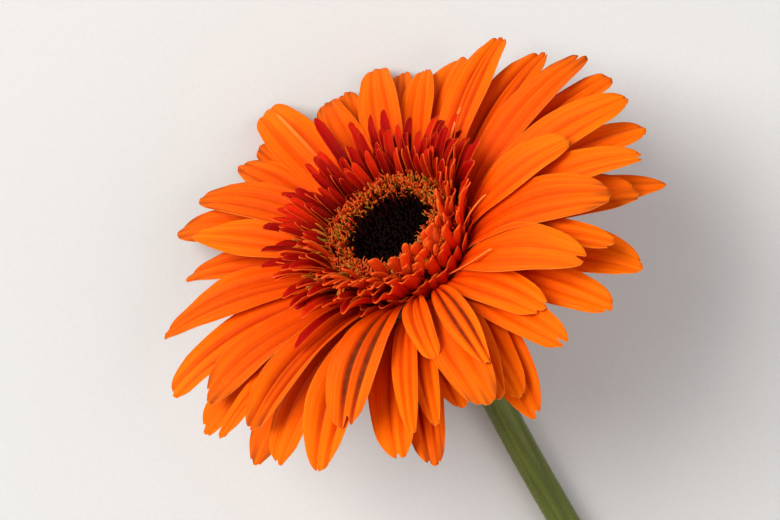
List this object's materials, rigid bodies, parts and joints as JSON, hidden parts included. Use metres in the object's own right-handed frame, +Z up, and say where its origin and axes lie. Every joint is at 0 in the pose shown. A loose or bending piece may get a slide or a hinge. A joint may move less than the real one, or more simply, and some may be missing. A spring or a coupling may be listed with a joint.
{
  "type": "cut gerbera flower",
  "caption": "Single cut gerbera daisy with orange ray petals, a dark eye and a short ruff, lying on its leafless stem with its face turned up.",
  "frame": {"origin": "on the surface it lies on, under the middle of the bounding box", "axes": "+X along the stem from the cut end to the head, +Z up from the surface; the flower's face looks along +X and +Z"},
  "size_m": [0.4962, 0.108, 0.0758],
  "materials": {
    "ray_petal": "matte, satin sheen",
    "trans_petal": "matte",
    "disc_floret": "matte",
    "disc_bud": "matte",
    "bract": "matte, downy",
    "receptacle": "matte, downy",
    "stem": "satin, downy"
  },
  "bodies": {
    "root": {"stem": "stem", "receptacle": "receptacle", "outer_bracts": "bract", "inner_bracts": "bract", "ray_floret_01": "ray_petal", "ray_floret_02": "ray_petal", "ray_floret_03": "ray_petal", "ray_floret_04": "ray_petal", "ray_floret_05": "ray_petal", "ray_floret_06": "ray_petal", "ray_floret_07": "ray_petal", "ray_floret_08": "ray_petal", "ray_floret_09": "ray_petal", "ray_floret_10": "ray_petal", "ray_floret_11": "ray_petal", "ray_floret_12": "ray_petal", "ray_floret_13": "ray_petal", "ray_floret_14": "ray_petal", "ray_floret_15": "ray_petal", "ray_floret_16": "ray_petal", "ray_floret_17": "ray_petal", "ray_floret_18": "ray_petal", "ray_floret_19": "ray_petal", "ray_floret_20": "ray_petal", "ray_floret_21": "ray_petal", "ray_floret_22": "ray_petal", "ray_floret_23": "ray_petal", "ray_floret_24": "ray_petal", "ray_floret_25": "ray_petal", "ray_floret_26": "ray_petal", "ray_floret_27": "ray_petal", "ray_floret_28": "ray_petal", "ray_floret_29": "ray_petal", "ray_floret_30": "ray_petal", "ray_floret_31": "ray_petal", "ray_floret_32": "ray_petal", "ray_floret_33": "ray_petal", "ray_floret_34": "ray_petal", "ray_floret_35": "ray_petal", "ray_floret_36": "ray_petal", "ray_floret_37": "ray_petal", "ray_floret_38": "ray_petal", "ray_floret_39": "ray_petal", "ray_floret_40": "ray_petal", "ray_floret_41": "ray_petal", "ray_floret_42": "ray_petal", "ray_floret_43": "ray_petal", "ray_floret_44": "ray_petal", "ray_floret_45": "ray_petal", "ray_floret_46": "ray_petal", "ray_floret_47": "ray_petal", "ray_floret_48": "ray_petal", "ray_floret_49": "ray_petal", "ray_floret_50": "ray_petal", "ray_floret_51": "ray_petal", "trans_florets_outer": "trans_petal", "trans_florets_middle": "trans_petal", "trans_florets_inner": "trans_petal", "open_disc_florets": "disc_floret", "disc_buds": "disc_bud"}
  },
  "joints": []
}
